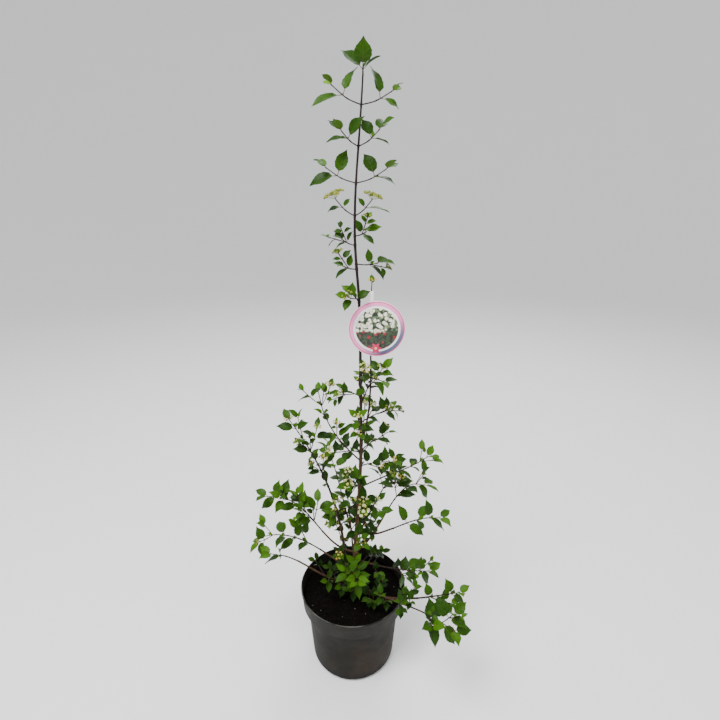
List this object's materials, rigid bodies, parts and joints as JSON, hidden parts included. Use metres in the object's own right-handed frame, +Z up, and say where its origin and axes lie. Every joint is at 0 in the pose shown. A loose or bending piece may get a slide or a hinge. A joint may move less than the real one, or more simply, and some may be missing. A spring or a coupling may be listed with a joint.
{
  "type": "potted snowball viburnum",
  "caption": "Young snowball viburnum shrub led up a slender trunk in a round nursery pot, with opposite toothed leaves, small bud clusters and a plain round hang label.",
  "frame": {"origin": "centre of the pot's flat underside", "axes": "+Z up along the trunk, -Y towards the front, +X to the right as seen from the front"},
  "size_m": [0.5094, 0.4468, 1.394],
  "materials": {
    "pot_plastic": "matte taupe-grey plastic",
    "compost": "dark moist bark compost",
    "bark": "thin brown bark",
    "foliage": "mid green leaves with a soft sheen",
    "label_card": "pale smooth plastic card"
  },
  "bodies": {
    "root": {"pot": "pot_plastic", "soil": "compost", "label": "label_card", "trunk": "bark", "left_arch_bough": "bark", "left_low_bough": "bark", "left_mid_bough": "bark", "left_rim_bough": "bark", "back_left_bough": "bark", "back_mid_bough": "bark", "back_right_bough": "bark", "right_low_bough": "bark", "right_mid_bough": "bark", "right_flat_bough": "bark", "right_long_bough": "bark", "right_hang_bough": "bark", "riser_bough": "bark", "left_arch_leaves": "foliage", "left_low_leaves": "foliage", "left_mid_leaves": "foliage", "left_rim_leaves": "foliage", "back_left_leaves": "foliage", "back_mid_leaves": "foliage", "back_right_leaves": "foliage", "right_low_leaves": "foliage", "right_mid_leaves": "foliage", "right_flat_leaves": "foliage", "right_long_leaves": "foliage", "right_hang_leaves": "foliage", "riser_leaves": "foliage", "tier_a_left": "foliage", "tier_a_right": "foliage", "tier_b_left": "foliage", "tier_b_right": "foliage", "tier_c_left": "foliage", "tier_c_right": "foliage", "tier_d_left": "foliage", "tier_d_right": "foliage", "tier_e_left": "foliage", "tier_e_right": "foliage", "tier_f_left": "foliage", "tier_f_right": "foliage", "shoot_g_front": "foliage", "shoot_h_right": "foliage", "shoot_i_left": "foliage", "shoot_i_back": "foliage", "shoot_j_right": "foliage", "shoot_j_front": "foliage", "shoot_k_left": "foliage", "shoot_k_back": "foliage", "shoot_l_right": "foliage", "shoot_l_front": "foliage", "shoot_m_right": "foliage", "shoot_m_left": "foliage", "shoot_n_front": "foliage", "front_star": "foliage", "left_high": "foliage", "back_high": "foliage", "right_high": "foliage", "top_tuft": "foliage"}
  },
  "joints": []
}
